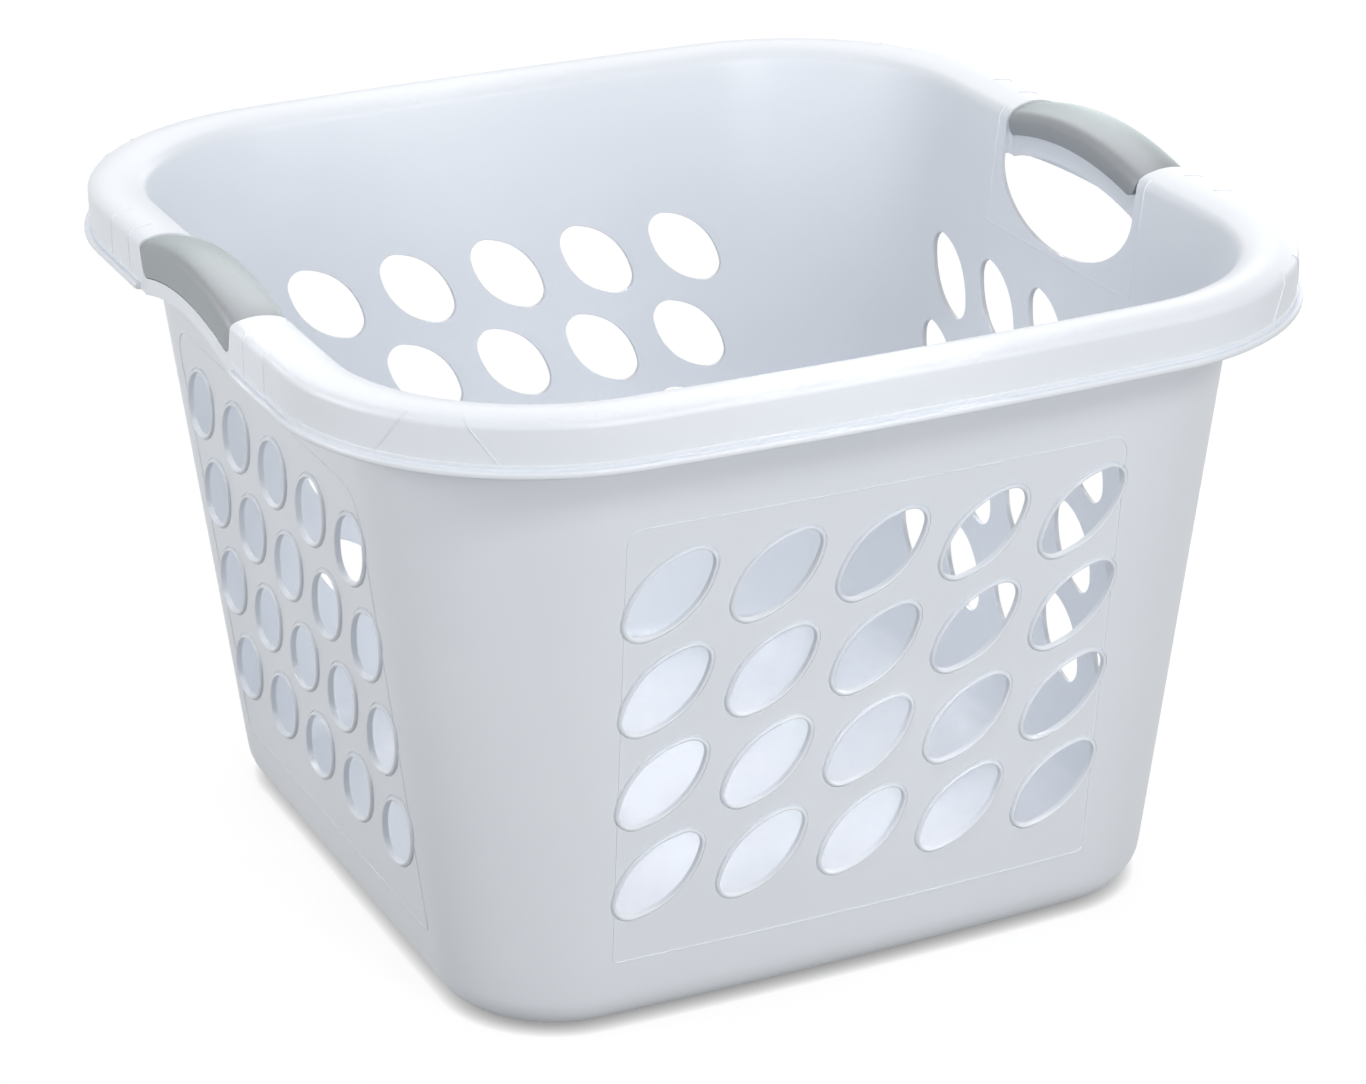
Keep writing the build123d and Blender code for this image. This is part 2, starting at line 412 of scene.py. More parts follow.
@dataclass(frozen=True)
class Section:
    """Section through floor, wall, rim and skirt, in mm outwards from the upright corner axis."""

    corner_x: float = 119.5
    corner_y: float = 118.5
    bow: float = 2.6
    sheet: float = 1.8
    wall_foot: float = 56.5
    draft: float = math.radians(6.7)
    floor_radius: float = 21.0
    crest_reach: float = 106.7
    crest_height: float = 316.0
    crown_radius: float = 30.0
    inner_bend: float = 7.3
    outer_bend: float = 4.0
    skirt_reach: float = 118.3
    skirt_foot: float = 291.1
    lip_reach: float = 121.1
    lip_top: float = 294.3
    lip_round: float = 1.2
    step_top: float = 296.7
    step_foot: float = 295.3
    step_out: float = 0.45
    groove: float = 0.1
    floor_steps: int = 3
    floor_bend_steps: int = 9
    foot_steps: int = 2             # wall below the vents
    shoulder_steps: int = 3         # wall above the vents
    bend_steps: int = 6
    crown_steps: int = 16
    bead_steps: int = 4

    def slope_at(self, height: float) -> float:
        """Return the distance along the outer wall face at a height."""
        return height / math.cos(self.draft)

    def wall(self, slope: float, depth: float) -> tuple[float, float]:
        """Return a point of the wall.

        Args:
            slope: Distance up the outer face from the floor line.
            depth: Distance behind the inner face.

        Returns:
            Reach from the corner axis, and height.
        """
        back = self.sheet - depth
        reach = self.wall_foot + slope * math.sin(self.draft) - back * math.cos(self.draft)
        return reach, slope * math.cos(self.draft) + back * math.sin(self.draft)

    def floor_centre(self) -> tuple[float, float]:
        """Return the centre of the bend between floor and wall."""
        slope = self.floor_radius * (1 - math.sin(self.draft)) / math.cos(self.draft)
        return self.wall(slope, self.sheet - self.floor_radius)

    def crown_centre(self) -> Vector:
        """Return the centre of the crown of the rim."""
        return Vector((self.crest_reach, self.crest_height - self.crown_radius))

    def inner_centre(self) -> Vector:
        """Find the bend between wall and crown.

        Returns:
            Its centre, as far from the wall's line as from the crown's circle.
        """
        start = Vector(self.wall(0.0, self.inner_bend)) - self.crown_centre()
        along = Vector((math.sin(self.draft), math.cos(self.draft)))
        middle = -start.dot(along)
        rest = start.length_squared - (self.crown_radius - self.inner_bend) ** 2
        slope = middle + math.sqrt(middle ** 2 - rest)
        return Vector(self.wall(slope, self.inner_bend))

    def outer_centre(self) -> Vector:
        """Find the bend between crown and skirt.

        Returns:
            Its centre.
        """
        reach = self.skirt_reach - self.outer_bend
        rise = math.sqrt(
            (self.crown_radius - self.outer_bend) ** 2 - (reach - self.crest_reach) ** 2
        )
        return Vector((reach, self.crown_centre().y + rise))

    def rim_turns(self, depth: float) -> list[tuple[Vector, float, int]]:
        """Return the bends of a rim line at a depth, from the wall to the skirt.

        Args:
            depth: Distance under the visible face of the rim.

        Returns:
            Centre, turn and steps of each bend. A bend that the depth uses up is left sharp.
        """
        crown = self.crown_centre()
        wall_side = math.pi - self.draft
        first = self.inner_centre() - crown
        first_angle = math.atan2(first.y, first.x)
        outer = []
        if depth < self.outer_bend:
            last = self.outer_centre() - crown
            last_angle = math.atan2(last.y, last.x)
            outer = [(self.outer_centre(), -last_angle, self.bend_steps)]
        else:
            last_angle = math.acos(
                (self.skirt_reach - depth - crown.x) / (self.crown_radius - depth)
            )
        return [
            (self.inner_centre(), first_angle - wall_side, self.bend_steps),
            (crown, last_angle - first_angle, self.crown_steps), *outer,
        ]

    def wall_end(self, depth: float) -> tuple[float, float]:
        """Return where a line at a depth leaves the wall for the rim."""
        away = Vector((-math.cos(self.draft), math.sin(self.draft)))
        return tuple(self.inner_centre() + away * (self.inner_bend - depth))

    def skirt_end(self, depth: float) -> tuple[float, float]:
        """Find where a line at a depth leaves the rim for the skirt.

        Args:
            depth: Distance under the visible face of the rim.

        Returns:
            Reach from the corner axis, and height.
        """
        reach = self.skirt_reach - depth
        if depth < self.outer_bend:
            return reach, self.outer_centre().y
        crown = self.crown_centre()
        rise = math.sqrt((self.crown_radius - depth) ** 2 - (reach - crown.x) ** 2)
        return reach, crown.y + rise

    def wall_place(self, height: float, depth: float) -> tuple[float, float]:
        """Return the point of the wall at a height and depth."""
        slope = (height - (self.sheet - depth) * math.sin(self.draft)) / math.cos(self.draft)
        return self.wall(slope, depth)

    def rim_out(self, pen: Pen, depth: float, foot: float, wall_steps: int = 1) -> None:
        """Draw the rim line at a depth, from the wall to a height on the skirt.

        Args:
            pen: Pen on the wall.
            depth: Distance under the visible face of the rim.
            foot: Height where the line ends.
            wall_steps: Number of steps along the wall.
        """
        pen.line(self.wall_end(depth), wall_steps)
        for centre, angle, steps in self.rim_turns(depth):
            pen.arc(tuple(centre), angle, steps)
        pen.line((self.skirt_reach - depth, foot))

    def rim_back(self, pen: Pen, depth: float) -> None:
        """Draw the rim line at a depth, from the skirt back to the wall.

        Args:
            pen: Pen on the skirt.
            depth: Distance under the visible face of the rim.
        """
        pen.line(self.skirt_end(depth))
        for centre, angle, steps in reversed(self.rim_turns(depth)):
            pen.arc(tuple(centre), -angle, steps)

    def lip(self, pen: Pen) -> None:
        """Draw the fine step, the groove and the bead along the foot of the skirt.

        Args:
            pen: Pen on the skirt, at the top of the step.
        """
        reach = self.skirt_reach
        step = reach + self.step_out
        slant = self.step_out
        bead = self.lip_reach - self.lip_round
        pen.lines((step, self.step_top - slant), (step, self.step_foot))
        pen.lines((reach + self.groove, self.step_foot - slant), (reach + self.groove, self.lip_top))
        pen.line((bead, self.lip_top))
        pen.arc((bead, self.lip_top - self.lip_round), -math.pi / 2, self.bead_steps)
        pen.line((self.lip_reach, self.skirt_foot + self.lip_round))
        pen.arc((bead, self.skirt_foot + self.lip_round), -math.pi / 2, self.bead_steps)
        pen.line((reach - self.sheet, self.skirt_foot))

    def floor_up(self, pen: Pen) -> None:
        """Draw floor and lower bend, from the corner axis to the wall.

        Args:
            pen: Pen on the corner axis.
        """
        centre = self.floor_centre()
        pen.line((centre[0], pen.place[1]), self.floor_steps)
        pen.arc(centre, math.pi / 2 - self.draft, self.floor_bend_steps)


@dataclass(frozen=True)
class VentField:
    """Leaf-shaped vents of one wall, each in a rounded collar, in mm."""

    section: Section
    half_length: float = 24.2
    half_width: float = 13.2
    tip_radius: float = 8.0
    lean: float = math.radians(45.0)
    columns: int = 5
    rows: int = 4
    column_pitch: float = 48.4
    row_pitch: float = 46.5
    top_row: float = 217.3
    tile_steps: int = 10            # mesh steps along each side of a vent's rectangle
    tip_steps: int = 8
    belly_steps: int = 12
    # Collar from the inner wall face out: distance from the hole's edge, height over the outer face
    collar: tuple[tuple[float, float], ...] = (
        (0.85, -1.8), (0.30, -1.8), (0.0, -1.50), (0.0, 0.55), (0.10, 0.88), (0.36, 1.14),
        (0.76, 1.24), (1.14, 1.12), (1.46, 0.82), (1.72, 0.30), (1.84, -0.60), (2.26, -0.62),
        (2.42, -0.08), (2.56, 0.0), (3.05, 0.0),
    )

    def slope_pitch(self) -> float:
        """Return the distance between two rows along the wall."""
        return self.row_pitch / math.cos(self.section.draft)

    def low_edge(self) -> float:
        """Return the slope of the lower edge of the field."""
        lowest = self.top_row - (self.rows - 0.5) * self.row_pitch
        return self.section.slope_at(lowest)

    def high_edge(self) -> float:
        """Return the slope of the upper edge of the field."""
        return self.low_edge() + self.rows * self.slope_pitch()

    def heights(self) -> tuple[float, float]:
        """Return the lowest and the highest point of the field's edges."""
        low = self.section.wall(self.low_edge(), self.section.sheet)[1]
        return low, self.section.wall(self.high_edge(), 0.0)[1]

    def below(self, pen: Pen, depth: float) -> None:
        """Draw floor, lower bend and wall, up to the vents."""
        self.section.floor_up(pen)
        pen.line(self.section.wall(self.low_edge(), depth), self.section.foot_steps)

    def above(self, pen: Pen) -> None:
        """Draw the wall above the vents out over rim and lip, and back on its outer face.

        Args:
            pen: Pen on the inner face, at the upper edge of the field.
        """
        section = self.section
        section.rim_out(pen, 0.0, section.step_top, section.shoulder_steps)
        section.lip(pen)
        section.rim_back(pen, section.sheet)
        pen.line(section.wall(self.high_edge(), section.sheet), section.shoulder_steps)

    def wall_rows(self) -> int:
        """Return the number of mesh rows of the field."""
        return self.rows * self.tile_steps

    def column_places(self, half_length: float) -> list[float]:
        """Place the mesh columns of a side, which line up with the vents.

        Args:
            half_length: Where the side ends on both sides of the middle.

        Returns:
            Distances of the columns from the middle.
        """
        count = self.columns * self.tile_steps
        width = self.column_pitch / self.tile_steps
        inner = [(i - count / 2) * width for i in range(1, count)]
        return [-half_length, *inner, half_length]

    def leaf_turns(self) -> list[tuple[Vector, float, int]]:
        """Divide the outline of a leaf into arcs.

        Returns:
            Centre, turn and steps of each arc, from the upper tip round.
        """
        tip = self.half_length - self.tip_radius
        belly = self.half_width - self.tip_radius
        radius = (tip ** 2 + belly ** 2) / (2 * belly)
        long_turn = 2 * math.asin(tip / radius)
        tip_turn = math.pi - long_turn
        turn = Matrix.Rotation(-self.lean, 3, "Y")
        right, left = (turn @ Vector((x, 0.0, 0.0)) for x in (tip, -tip))
        low, high = (turn @ Vector((0.0, 0.0, z)) for z in (belly - radius, radius - belly))
        return [
            (right, tip_turn / 2, self.tip_steps // 2), (low, long_turn, self.belly_steps),
            (left, tip_turn, self.tip_steps), (high, long_turn, self.belly_steps),
            (right, tip_turn / 2, self.tip_steps // 2),
        ]

    def tile(self) -> bpy.types.Object:
        """Model one vent in its rectangle of wall.

        Returns:
            The vent, upright and facing -Y.
        """
        piece = new_piece("vent")
        tip = Vector((math.cos(self.lean), 0.0, math.sin(self.lean)))
        outwards = Vector((0.0, -1.0, 0.0))
        board = Board(tip * self.half_length, tip, outwards)
        Pen(board, self.collar[0]).lines(*self.collar[1:])
        bpy.ops.mesh.select_all(action="SELECT")
        for centre, angle, steps in self.leaf_turns():
            spin(centre, outwards, angle, steps)
        weld()
        wide = self.column_pitch / 2
        tall = self.slope_pitch() / 2
        for depth, away in ((0.0, -wide), (self.section.sheet, wide)):
            # The border is drawn off the wall, because two rings in one plane are bridged across
            plane = Board(Vector((0.0, depth + away, 0.0)), RIGHT, UP)
            pen = Pen(plane, (wide, tall))
            for corner in ((-wide, tall), (-wide, -tall), (wide, -tall), (wide, tall)):
                pen.line(corner, self.tile_steps)
            weld()
            select_edges(
                lambda e: open_edge(e) and all(
                    min(abs(v.co.y - depth), abs(v.co.y - depth - away)) < EPS for v in e.verts
                )
            )
            bpy.ops.mesh.bridge_edge_loops()
            bpy.ops.mesh.select_mode(type="VERT")
            select_points(lambda v: abs(v.co.y - depth - away) < EPS)
            bpy.ops.transform.translate(value=(0.0, -away, 0.0))
        face_outwards()
        deselect()
        return piece

    def build(self, half_length: float) -> bpy.types.Object:
        """Model the whole field, leaning with the wall and facing -Y from the plane of the axes.

        Args:
            half_length: Where the field ends on both sides of the middle.

        Returns:
            The field as one object.
        """
        piece = self.tile()
        pitch = self.slope_pitch()
        steps = ((self.columns, (self.column_pitch, 0, 0)), (self.rows, (0, 0, pitch)))
        for count, step in steps:
            apply_modifier(
                piece, "ARRAY", count=count, use_relative_offset=False,
                use_constant_offset=True, constant_offset_displace=step,
                use_merge_vertices=True, merge_threshold=WELD,
            )
        open_mesh(piece)
        edge = (self.columns - 0.5) * self.column_pitch
        for side, x in ((-1, -self.column_pitch / 2), (1, edge)):
            select_points(lambda v, x=x: abs(v.co.x - x) < EPS)
            shift = side * (half_length - self.columns * self.column_pitch / 2)
            bpy.ops.transform.translate(value=(shift, 0.0, 0.0))
        deselect()
        middle = (self.columns - 1) * self.column_pitch / 2
        slope = self.low_edge() + pitch / 2
        reach, height = self.section.wall(slope, self.section.sheet)
        lean = Matrix.Rotation(self.section.draft, 4, "X")
        place = Matrix.Translation((0.0, -reach, height))
        piece.matrix_world = place @ lean @ Matrix.Translation((-middle, 0.0, 0.0))
        settle(piece)
        return piece


@dataclass(frozen=True)
class Wall:
    """One side of the basket, modelled straight and facing -Y from the plane of the corner axes."""

    section: Section
    vents: VentField
    half_length: float
    field_edge: float

    def draw(self) -> None:
        """Draw the lines of the section below and above the vents at the left end."""
        section, vents = self.section, self.vents
        board = Board(RIGHT * -self.half_length, -BACK, UP)
        for depth in (0.0, section.sheet):
            vents.below(Pen(board, (0.0, section.sheet - depth)), depth)
        vents.above(Pen(board, section.wall(vents.high_edge(), 0.0)))

    def build(self, name: str) -> bpy.types.Object:
        """Model the wall with floor edge, vents, rim and lip.

        Args:
            name: Name of the object.

        Returns:
            The straight wall, open at both ends and at the floor.
        """
        piece = new_piece(name)
        self.draw()
        bpy.ops.mesh.select_all(action="SELECT")
        places = self.vents.column_places(self.half_length)
        for before, after in zip(places, places[1:]):
            bpy.ops.mesh.extrude_region_move(
                TRANSFORM_OT_translate={"value": (after - before, 0.0, 0.0)}
            )
        low, high = self.vents.heights()
        for side in (-1, 1):
            end = side * self.half_length
            select_points(
                lambda v: abs(v.co.x - end) < EPS and low - EPS < v.co.z < high + EPS
            )
            shift = side * (self.field_edge - self.half_length)
            bpy.ops.transform.translate(value=(shift, 0.0, 0.0))
        joined((piece, self.vents.build(self.field_edge)))
        open_mesh(piece)
        weld()
        deselect()
        return piece


@dataclass(frozen=True)
class MouldLines:
    """Fine raised lines that the joints of the mould leave on the basket, in mm."""

    section: Section
    width: float = 0.85
    height: float = 0.36
    flat_top: float = 0.34
    root: float = 0.35              # how deep a line sits in the wall
    # Frames round the vents: half width, height of the top, upper corner radius
    front_frame: tuple[float, float, float] = (116.4, 250.5, 8.0)
    side_frame: tuple[float, float, float] = (116.5, 251.5, 16.0)
    frame_foot: float = 35.6
    frame_foot_corner: float = 3.0
    beside_handle: tuple[float, ...] = (76.5, 101.5)
    inner_line: float = 67.5        # beside the hand hole, on the inner wall
    inner_foot: float = 255.5
    corner_top: float = 314.0
    corner_offset: float = math.radians(6.5)     # from the corner's diagonal at that height
    corner_slant: float = math.radians(0.38)     # more for every mm down
    line_steps: int = 24            # lets a long line follow the bow of the front
    bend_steps: int = 8
    foot_bend_steps: int = 6
    slant_steps: int = 8

    def profile(self) -> list[tuple[float, float]]:
        """Return the ridge across its width and height."""
        wide, flat = self.width / 2, self.flat_top / 2
        return [(-wide, -self.root), (-flat, self.height), (flat, self.height), (wide, -self.root)]

    def standing(self) -> list[tuple[float, float]]:
        """Return the ridge for a way on a board that stands across the rim."""
        return [(height, across) for across, height in self.profile()]

    def wall_board(self, place: tuple[float, float]) -> Board:
        """Return a board along a straight wall that faces -Y, from a point of the wall."""
        along = Vector((0.0, -math.sin(self.section.draft), math.cos(self.section.draft)))
        return Board(Vector((0.0, -place[0], place[1])), RIGHT, along)

    def frame(self, size: tuple[float, float, float]) -> bpy.types.Object:
        """Model the line round the vents on the outer face of a straight wall that faces -Y.

        Args:
            size: Half width, height of the top and radius of the upper corners.

        Returns:
            The closed ridge.
        """
        half, top, bend = size
        foot_bend = self.frame_foot_corner
        section = self.section
        board = self.wall_board(section.wall(0.0, section.sheet))
        low, high = section.slope_at(self.frame_foot), section.slope_at(top)
        piece = new_piece("panel_line")
        brush = Brush(board, (foot_bend - half, low), 0.0, self.profile())
        brush.line((half - foot_bend, low), self.line_steps)
        brush.arc((half - foot_bend, low + foot_bend), math.pi / 2, self.foot_bend_steps)
        brush.line((half, high - bend))
        brush.arc((half - bend, high - bend), math.pi / 2, self.bend_steps)
        brush.line((bend - half, high), self.line_steps)
        brush.arc((bend - half, high - bend), math.pi / 2, self.bend_steps)
        brush.line((-half, low + foot_bend))
        brush.arc((foot_bend - half, low + foot_bend), math.pi / 2, self.foot_bend_steps)
        return closed(piece)

    def under_hand_hole(self) -> bpy.types.Object:
        """Model the line below the hand hole on the inner face of a straight wall that faces -Y.

        Returns:
            The closed ridge.
        """
        piece = new_piece("inner_line")
        board = self.wall_board(self.section.wall_place(self.inner_foot, 0.0))
        brush = Brush(board, (-self.inner_line, 0.0), 0.0, [(a, -b) for a, b in self.profile()])
        brush.line((self.inner_line, 0.0))
        return closed(piece)

    def inside_rim(self, board: Board) -> bpy.types.Object:
        """Model a line up the inner wall that ends in the bend of the rim.

        Args:
            board: Upright board across the rim.

        Returns:
            The closed ridge.
        """
        section = self.section
        piece = new_piece("rim_line")
        start = section.wall_place(self.inner_foot, 0.0)
        heading = math.pi / 2 - section.draft
        brush = Brush(board, start, heading, self.standing())
        brush.line(section.wall_end(0.0))
        centre, angle, steps = section.rim_turns(0.0)[0]
        brush.arc(tuple(centre), angle, steps)
        return closed(piece)

    def across_rim(self, board: Board) -> bpy.types.Object:
        """Model a line over the rim, from its crest to the foot of the skirt.

        Args:
            board: Upright board across the rim.

        Returns:
            The closed ridge.
        """
        section = self.section
        piece = new_piece("rim_line")
        crest = (section.crest_reach, section.crest_height)
        brush = Brush(board, crest, 0.0, self.standing())
        bend = section.rim_turns(0.0)[-1]
        brush.arc(tuple(section.crown_centre()), -bend[1] - math.pi / 2, self.bend_steps)
        brush.arc(tuple(bend[0]), *bend[1:])
        brush.line((section.skirt_reach, section.step_top - self.width))
        return closed(piece)

    def down_skirt(self) -> bpy.types.Object:
        """Model the line that slants down the skirt to the right of a corner's diagonal.

        Returns:
            The line, for a corner whose axis is the Z axis and whose diagonal is the X axis.
        """
        section = self.section
        piece = new_piece("corner_line")
        board = Board(Vector(), RIGHT, UP)
        centre, turn, steps = section.rim_turns(0.0)[-1]
        place = centre + section.outer_bend * Vector((math.cos(turn), -math.sin(turn)))
        heading = -turn - math.pi / 2
        brush = Brush(board, tuple(place), heading, self.standing())
        brush.arc(tuple(centre), turn, steps)
        brush.line((section.skirt_reach, section.step_top - self.width), self.slant_steps)
        closed(piece)
        heights = [v.co.z for v in piece.data.vertices]
        apply_modifier(
            piece, "SIMPLE_DEFORM", deform_method="TWIST", deform_axis="Z",
            angle=self.corner_slant * (max(heights) - min(heights)),
        )
        back = self.corner_slant * self.corner_top + self.corner_offset
        piece.matrix_world = Matrix.Rotation(-back, 4, "Z")
        settle(piece)
        return piece


@dataclass(frozen=True)
class Handle:
    """Hand hole, bridge and grip of one side, in mm."""

    section: Section
    half_length: float = 57.7
    clearance: float = 0.3
    rise: float = 7.7
    grip_sheet: float = 3.0
    outer_foot: float = 298.6
    inner_foot: float = 301.8
    grip_corner: float = 5.0
    grip_edge: float = 0.45
    leg_foot: float = 291.6
    strip_foot: float = 290.8
    web: float = 4.5
    hole_half_width: float = 60.7
    hole_depth: float = 33.2
    hole_top: float = 312.0
    rib_reach: float = 101.5
    rib_foot: float = 292.2
    rib_rise: float = 3.2
    lip_end: float = 62.0
    end_angle: float = math.radians(16.1)    # ends of the grip, square to its arch
    bridge_room: float = 1.5        # how far the bridge runs into the webs beside it
    rib_room: float = 3.6           # how far its rib does
    fill_size: float = 10.0         # white block that each lower corner of a grip is cut from
    fill_lift: float = 1.25
    arch_steps: int = 6             # leaves the last step of the grip longer than its corner
    hole_steps: int = 56
    rib_steps: int = 16
    corner_steps: int = 6
    edge_steps: int = 3
    edge_angle: float = math.radians(40)    # edges of the grip sharper than this are rounded
    seam: float = 0.03              # keeps faces of two solids off one plane

    def gap(self) -> float:
        """Return half the width of the opening in the rim."""
        return self.half_length + self.clearance

    def axis_height(self) -> float:
        """Return the height of the axis that the handle arches around."""
        radius = (self.half_length ** 2 + self.rise ** 2) / (2 * self.rise)
        return self.section.crest_height + self.rise - radius

    def end_turn(self, room: float) -> float:
        """Return half the turn of the arch with some room at the ends of the grip."""
        return self.end_angle + room / (self.section.crest_height - self.axis_height())

    def side_board(self, y: float, lift: float) -> Board:
        """Return an upright board across the right rim."""
        origin = Vector((self.section.corner_x, y, lift))
        return Board(origin, RIGHT, UP)

    def arched(self, name: str, room: float, draw: Callable[[Pen], None],
               start: tuple[float, float]) -> bpy.types.Object:
        """Lead a closed outline of the right rim along the arch.

        Args:
            name: Name of the object.
            room: How far it goes on beyond both ends of the grip.
            draw: Draws the outline after its first point.
            start: First point of the outline.

        Returns:
            The closed arch.
        """
        piece = new_piece(name)
        pen = Pen(self.side_board(0.0, self.rise), start)
        draw(pen)
        pen.close()
        weld()
        centre = Vector((0.0, 0.0, self.axis_height()))
        for side in (-1, 1):
            select_points(lambda v: abs(v.co.y) < EPS)
            spin(centre, RIGHT, side * self.end_turn(room), self.arch_steps)
        return closed(piece)

    def rim_opening(self) -> bpy.types.Object:
        """Model the space that is cut out of both side rims.

        Returns:
            A bar across the basket, square to the arch at its ends.
        """
        piece = new_piece("rim_opening")
        section = self.section
        # The bar ends well past both rims, and as far over the crest as the skirt goes below it
        reach = 3 * section.corner_x
        board = Board(RIGHT * -reach, BACK, UP)
        low = section.skirt_foot - self.seam
        high = 2 * section.crest_height - section.skirt_foot
        slope = math.tan(self.end_turn(self.clearance))
        low_half, high_half = (slope * (z - self.axis_height()) for z in (low, high))
        pen = Pen(board, (-low_half, low))
        pen.lines((low_half, low), (high_half, high), (-high_half, high)).close()
        draw_out(RIGHT * 2 * reach)
        deselect()
        return piece

    def on_both_sides(self, piece: bpy.types.Object) -> bpy.types.Object:
        """Return a shape of the right handle together with its half turn to the left."""
        return joined((piece, *half_turned(piece)))

    def webs(self) -> bpy.types.Object:
        """Model the webs that close the rims beside the handles.

        Returns:
            All four webs.
        """
        depth = self.section.sheet / 2
        foot = self.section.skirt_foot + self.seam
        pieces = []
        for y in (self.gap() - self.web, -self.gap() - self.web):
            piece = new_piece("web")
            pen = Pen(self.side_board(y, 0.0), self.section.wall_place(foot, depth))
            self.section.rim_out(pen, depth, foot)
            pen.close()
            draw_out(BACK * 2 * self.web)
            pieces.append(piece)
        return self.on_both_sides(joined(pieces))

    def hand_holes(self) -> bpy.types.Object:
        """Model the space of both hand holes and of the recess beside the inner legs.

        Returns:
            The two spaces, as one object.
        """
        piece = new_piece("hand_hole")
        foot = self.section.skirt_foot
        board = Board(RIGHT * self.section.corner_x, BACK, UP)
        pen = Pen(board, (-self.hole_half_width, foot))
        pen.arc((0.0, foot), math.pi, self.hole_steps)
        bpy.ops.mesh.select_all(action="SELECT")
        bpy.ops.transform.resize(
            value=(1.0, 1.0, self.hole_depth / self.hole_half_width),
            center_override=(0.0, 0.0, foot),
        )
        select_points(lambda v: v.co.y > self.hole_half_width - EPS)
        wide, top = self.hole_half_width, self.hole_top
        pen.lines((wide, top), (-wide, top)).close()
        depth = self.grip_sheet + self.clearance - 2 * self.seam
        draw_out(RIGHT * self.section.wall_place(self.leg_foot, depth)[0])
        return self.on_both_sides(piece)

    def bridges(self) -> bpy.types.Object:
        """Model the white arches under both grips.

        Returns:
            The two bridges, as one object.
        """
        section = self.section
        near = self.grip_sheet + self.clearance
        far = near + section.sheet
        ledge = self.outer_foot - self.clearance
        strip = self.strip_foot

        def outline(pen: Pen) -> None:
            """Draw inner leg, crown, outer leg, ledge and strip of skirt.

            Args:
                pen: Pen at the inner leg's foot.
            """
            section.rim_out(pen, near, ledge)
            outside = section.skirt_reach - self.seam
            inside = outside - section.sheet
            pen.lines((outside, ledge), (outside, strip))
            pen.lines((inside, strip), (inside, ledge - section.sheet))
            pen.line((section.skirt_reach - far, ledge - section.sheet))
            section.rim_back(pen, far)
            pen.line(section.wall_place(self.leg_foot, far))

        start = section.wall_place(self.leg_foot, near)
        piece = self.arched("bridge", self.bridge_room, outline, start)
        return self.on_both_sides(piece)

    def ribs(self) -> bpy.types.Object:
        """Model the rib along the middle of both bridges, whose lower edge shows in the hand hole.

        Returns:
            The two ribs, as one object.
        """
        piece = new_piece("rib")
        half = self.gap() + self.rib_room
        board = Board(RIGHT * (self.section.corner_x + self.rib_reach), BACK, UP)
        flat = (half ** 2 + self.rib_rise ** 2) / (2 * self.rib_rise)
        pen = Pen(board, (-half, self.rib_foot - self.rib_rise))
        pen.arc((0.0, self.rib_foot - flat), -2 * math.asin(half / flat), self.rib_steps)
        depth = self.grip_sheet + self.clearance + self.section.sheet / 2
        top = self.section.crest_height + self.rise - depth - self.seam - self.axis_height()
        pen.line((half, self.axis_height() + math.sqrt(top ** 2 - half ** 2)))
        pen.arc((0.0, self.axis_height()), 2 * math.asin(half / top), self.rib_steps)
        pen.close()
        draw_out(RIGHT * self.section.sheet)
        return self.on_both_sides(piece)

    def saddle(self, name: str, room: float) -> bpy.types.Object:
        """Model the right grip with rounded lower corners and sharp edges.

        Args:
            name: Name of the object.
            room: How much larger than the grip it is at its ends and feet.

        Returns:
            The closed saddle.
        """
        section = self.section
        outer, inner = self.outer_foot - room, self.inner_foot - room

        def outline(pen: Pen) -> None:
            """Draw the outer face and the inner face of the saddle.

            Args:
                pen: Pen at the inner foot.
            """
            section.rim_out(pen, 0.0, outer)
            pen.line((section.skirt_reach - self.grip_sheet, outer))
            section.rim_back(pen, self.grip_sheet)
            pen.line(section.wall_place(inner, self.grip_sheet))

        piece = self.arched(name, room, outline, section.wall_place(inner, 0.0))
        axis = self.axis_height()
        feet = [foot + self.rise - axis for foot in (outer, inner)]

        def foot_corner(edge: bmesh.types.BMEdge) -> bool:
            """Pick the four lower corners.

            Args:
                edge: Edge of the saddle.

            Returns:
                Whether the edge is one of them.
            """
            turns = [math.atan2(abs(v.co.y), v.co.z - axis) for v in edge.verts]
            ends = [turn > self.end_angle - EPS / axis for turn in turns]
            radii = [math.hypot(v.co.y, v.co.z - axis) for v in edge.verts]
            return all(ends) and any(
                all(abs(r - foot) < self.clearance for r in radii) for foot in feet
            )

        open_mesh(piece)
        select_edges(foot_corner)
        bpy.ops.mesh.bevel(
            offset=self.grip_corner + room, segments=self.corner_steps, affect="EDGES"
        )
        deselect()
        return piece

    def corner_fills(self) -> bpy.types.Object:
        """Model the white corners of the skirt round the lower corners of both grips.

        Returns:
            The corners of both sides, as one object.
        """
        section = self.section
        outside = section.corner_x + section.skirt_reach - 2 * self.seam
        fills = []
        for side in (-1, 1):
            deselect()
            bpy.ops.mesh.primitive_cube_add(
                size=1.0, scale=(section.sheet, self.fill_size, self.fill_size),
                location=(
                    outside - section.sheet / 2,
                    side * (self.gap() + self.bridge_room - self.fill_size / 2),
                    self.outer_foot + self.fill_lift,
                ),
            )
            settle(bpy.context.object)
            fills.append(bpy.context.object)
        fill = joined(fills)
        combine(fill, self.saddle("grip_room", self.clearance + self.seam), Cut.TAKE)
        return self.on_both_sides(fill)

    def grip(self) -> bpy.types.Object:
        """Model the right grip.

        Returns:
            A saddle with rounded corners and edges.
        """
        piece = self.saddle("grip_right_saddle", 0.0)
        apply_modifier(
            piece, "BEVEL", width=self.grip_edge, segments=self.edge_steps,
            limit_method="ANGLE", angle_limit=self.edge_angle, harden_normals=False,
        )
        return piece


